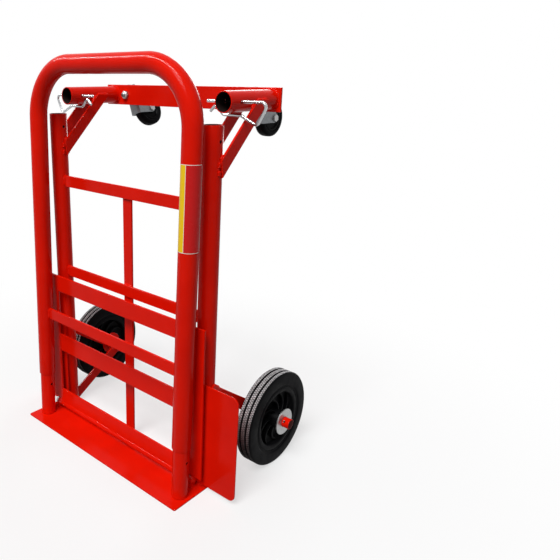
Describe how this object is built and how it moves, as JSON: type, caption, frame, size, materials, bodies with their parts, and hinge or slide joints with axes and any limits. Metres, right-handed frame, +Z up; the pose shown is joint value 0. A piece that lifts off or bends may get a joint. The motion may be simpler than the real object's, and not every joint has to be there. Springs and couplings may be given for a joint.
{
  "type": "folding hand truck",
  "caption": "Folding steel hand truck with a fold-up nose frame, lift-off loop handle, solid tyres and rear casters, stored folded.",
  "frame": {"origin": "on the floor under the toe plate, midway between the axes of the two uprights", "axes": "+X to the right seen from the front, +Y to the back where the wheels are, +Z up"},
  "size_m": [0.6478, 0.3785, 0.8465],
  "materials": {
    "red_paint": "gloss",
    "zinc_steel": "satin",
    "pin_wire": "bright",
    "tyre_rubber": "matte",
    "rim_plastic": "satin",
    "caster_rubber": "matte",
    "label_film": "gloss"
  },
  "bodies": {
    "frame": {"left_upright": "red_paint", "right_upright": "red_paint", "upper_crossbar": "red_paint", "middle_crossbar": "red_paint", "lower_crossbar": "red_paint", "centre_bar": "red_paint", "toe_plate": "red_paint", "left_side_plate": "red_paint", "right_side_plate": "red_paint", "left_upper_axle_brace": "red_paint", "right_upper_axle_brace": "red_paint", "left_lower_axle_brace": "red_paint", "right_lower_axle_brace": "red_paint", "axle": "red_paint", "left_socket": "red_paint", "right_socket": "red_paint", "left_outer_socket_brace": "red_paint", "right_outer_socket_brace": "red_paint", "left_inner_socket_brace": "red_paint", "right_inner_socket_brace": "red_paint", "rear_crossbar": "red_paint", "left_nose_lug": "red_paint", "right_nose_lug": "red_paint", "nose_hinge_rod": "red_paint", "nose_hinge_nut": "zinc_steel", "inner_washers": "red_paint", "outer_washers": "zinc_steel", "cotter_pins": "zinc_steel", "left_caster_stem": "zinc_steel", "right_caster_stem": "zinc_steel", "caster_nuts": "zinc_steel"},
    "handle": {"handle_tube": "red_paint", "handle_crosspiece": "red_paint", "left_spigot": "red_paint", "right_spigot": "red_paint", "label": "label_film"},
    "nose": {"nose_left_bar": "red_paint", "nose_right_bar": "red_paint", "nose_front_bar": "red_paint", "nose_middle_bar": "red_paint", "nose_rear_bar": "red_paint", "nose_hinge_tube": "red_paint"},
    "left_wheel": {"left_tyre": "tyre_rubber", "left_rim": "rim_plastic", "left_bearing_sleeve": "zinc_steel"},
    "left_caster": {"left_caster_fork": "zinc_steel", "left_caster_axle": "zinc_steel"},
    "left_caster_wheel": {"left_caster_core": "rim_plastic", "left_caster_tread": "caster_rubber"},
    "left_pin": {"left_lock_pin": "pin_wire"},
    "right_wheel": {"right_tyre": "tyre_rubber", "right_rim": "rim_plastic", "right_bearing_sleeve": "zinc_steel"},
    "right_caster": {"right_caster_fork": "zinc_steel", "right_caster_axle": "zinc_steel"},
    "right_caster_wheel": {"right_caster_core": "rim_plastic", "right_caster_tread": "caster_rubber"},
    "right_pin": {"right_lock_pin": "pin_wire"}
  },
  "joints": [
    {"name": "handle_lift_off", "type": "slide", "parent": "frame", "child": "handle", "axis": [0, -0.766, 0.6428], "range_m": [0, 0.72]},
    {"name": "nose_fold", "type": "hinge", "parent": "frame", "child": "nose", "pos_m": [0, -0.0336, 0.0195], "axis": [1, 0, 0], "range_deg": [0, 93]},
    {"name": "left_wheel_spin", "type": "hinge", "parent": "frame", "child": "left_wheel", "pos_m": [-0.27615, 0.162, 0.1045], "axis": [1, 0, 0], "continuous": true},
    {"name": "left_caster_swivel", "type": "hinge", "parent": "frame", "child": "left_caster", "pos_m": [-0.18095, 0.1828, 0.762], "axis": [0, 1, 0], "continuous": true},
    {"name": "left_caster_spin", "type": "hinge", "parent": "left_caster", "child": "left_caster_wheel", "pos_m": [-0.16795, 0.2268, 0.72629], "axis": [0.9397, 0, 0.342], "continuous": true},
    {"name": "left_pin_pull", "type": "slide", "parent": "frame", "child": "left_pin", "axis": [-1, 0, 0], "range_m": [0, 0.085]},
    {"name": "right_wheel_spin", "type": "hinge", "parent": "frame", "child": "right_wheel", "pos_m": [0.27615, 0.162, 0.1045], "axis": [1, 0, 0], "continuous": true},
    {"name": "right_caster_swivel", "type": "hinge", "parent": "frame", "child": "right_caster", "pos_m": [0.18095, 0.1828, 0.762], "axis": [0, 1, 0], "continuous": true},
    {"name": "right_caster_spin", "type": "hinge", "parent": "right_caster", "child": "right_caster_wheel", "pos_m": [0.18095, 0.2268, 0.724], "axis": [1, 0, 0], "continuous": true},
    {"name": "right_pin_pull", "type": "slide", "parent": "frame", "child": "right_pin", "axis": [1, 0, 0], "range_m": [0, 0.085]}
  ],
  "couplings": [
    {"joint": "nose_fold", "follows": "handle_lift_off", "rad_per_m": 2.2423}
  ]
}
